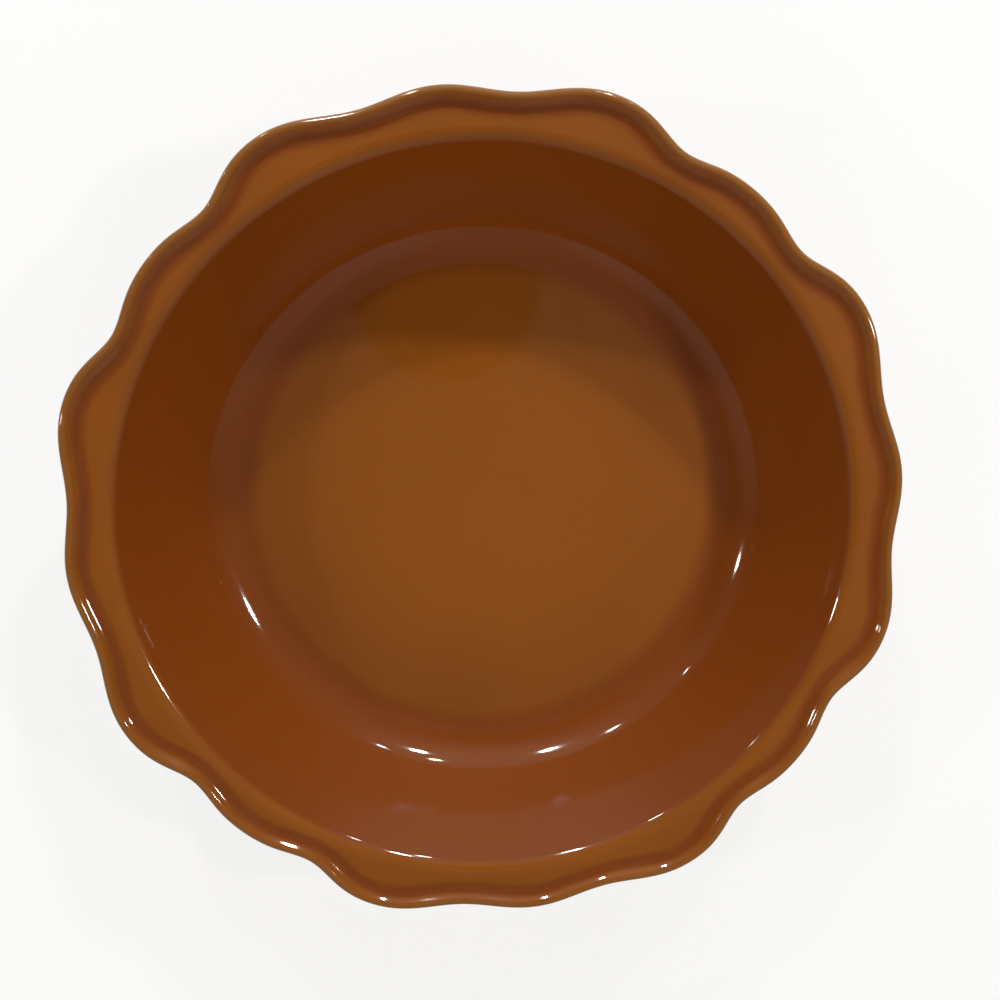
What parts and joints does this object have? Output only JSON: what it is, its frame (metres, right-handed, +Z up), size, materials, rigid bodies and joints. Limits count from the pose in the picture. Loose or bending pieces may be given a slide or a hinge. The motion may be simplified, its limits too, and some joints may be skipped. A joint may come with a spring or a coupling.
{
  "type": "pie dish",
  "caption": "Round deep glazed pie dish with sloping sides, a flat floor, a level flange and a scalloped, rolled rim, on a low bare foot ring.",
  "frame": {"origin": "on the dish's axis, at the plane of the foot ring that it stands on", "axes": "+Z up along the dish's axis, out of its mouth; +X through the tip of a side lobe of the rim"},
  "size_m": [0.2608, 0.2608, 0.0499],
  "materials": {
    "bare_stoneware": "unglazed fired clay, matt and slightly gritty",
    "caramel_glaze": "glossy caramel-brown glaze, thinner and more golden on edges"
  },
  "bodies": {
    "root": {"stoneware_body": "bare_stoneware", "glaze_coat": "caramel_glaze", "underside_glaze": "caramel_glaze"}
  },
  "joints": []
}
